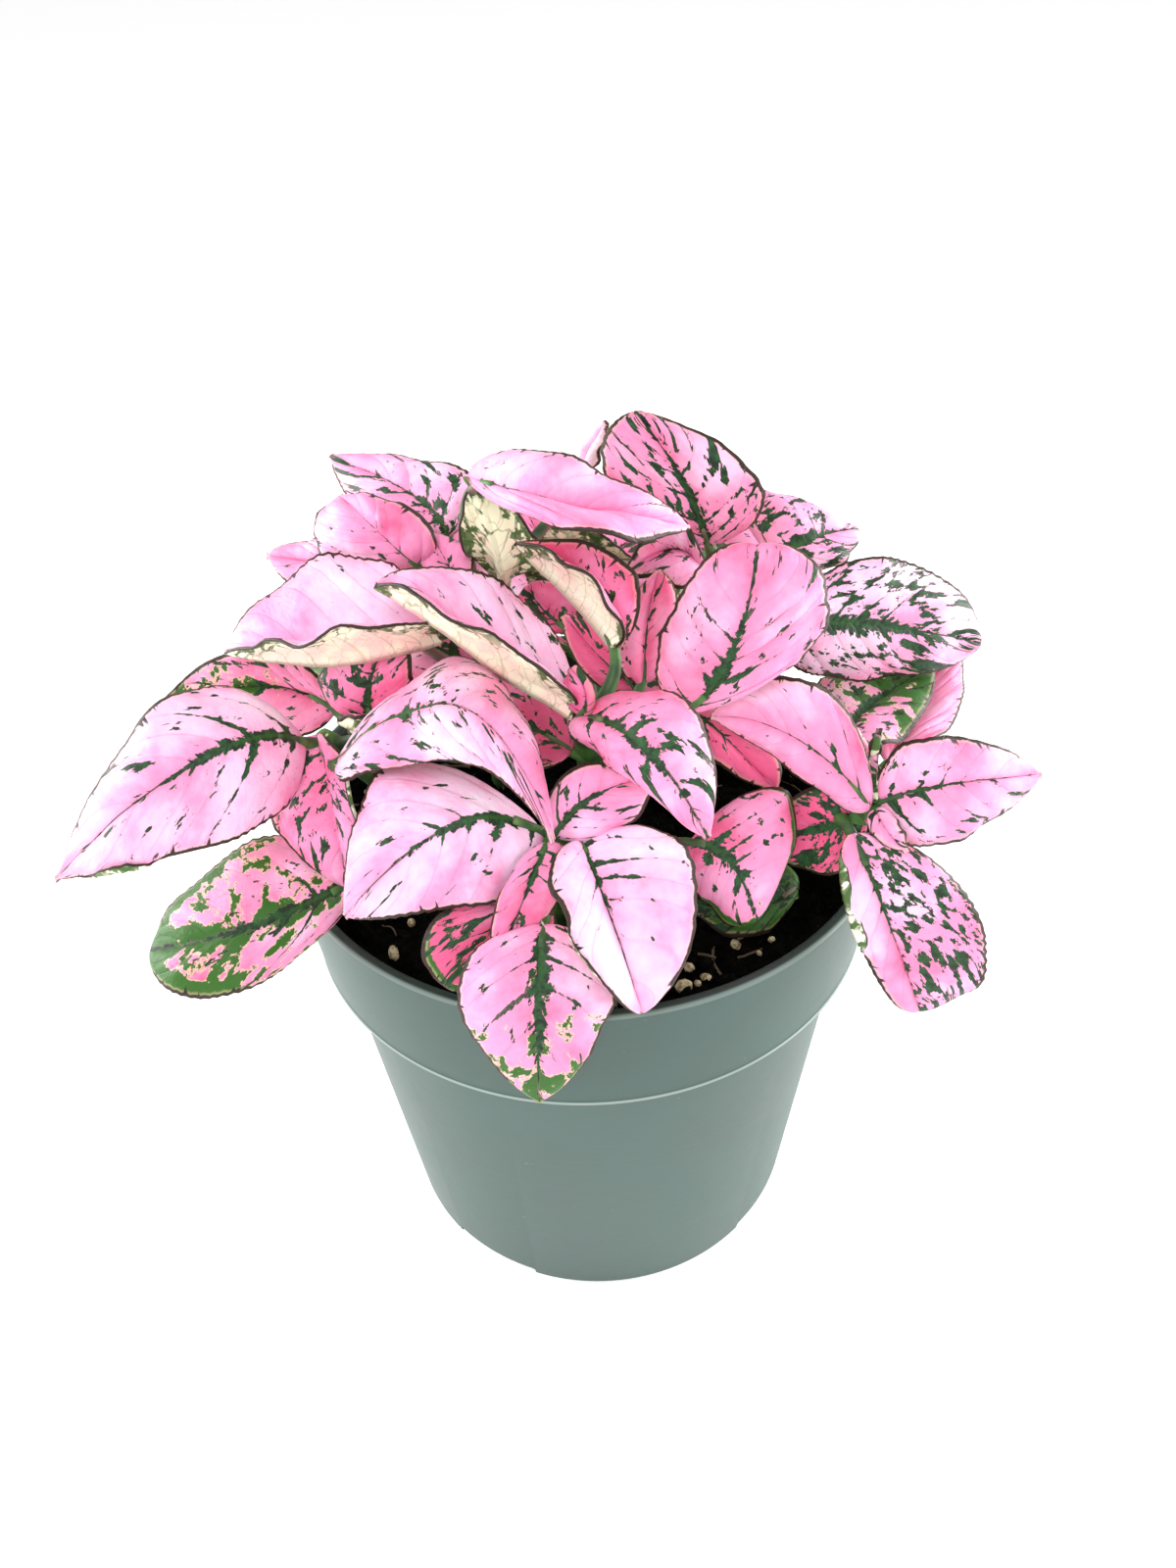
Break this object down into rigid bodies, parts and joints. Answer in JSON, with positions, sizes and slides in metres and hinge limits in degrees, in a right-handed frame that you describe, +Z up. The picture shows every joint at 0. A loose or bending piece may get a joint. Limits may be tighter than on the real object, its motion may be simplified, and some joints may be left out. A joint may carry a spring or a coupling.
{
  "type": "potted polka dot plant",
  "caption": "Small houseplant with spotted pink leaves on several short stems, growing in soil in a round tapered nursery pot that stands on its base.",
  "frame": {"origin": "centre of the pot's flat underside, on the surface that it stands on", "axes": "+Z up along the pot's axis, -Y towards the plant's front, +X to the right of someone who looks at the front"},
  "size_m": [0.0786, 0.0696, 0.0834],
  "materials": {
    "pot": "matte grey-green moulded plastic",
    "soil": "damp dark potting mix with pale grains",
    "leaf": "thin soft leaf, pink with green veins and spots"
  },
  "bodies": {
    "root": {"pot": "pot", "soil": "soil", "leafy_stem_front": "leaf", "leafy_stem_left": "leaf", "leafy_stem_centre": "leaf", "leafy_stem_back_left": "leaf", "leafy_stem_back_right": "leaf", "leafy_stem_right": "leaf", "leafy_stem_back": "leaf"}
  },
  "joints": []
}
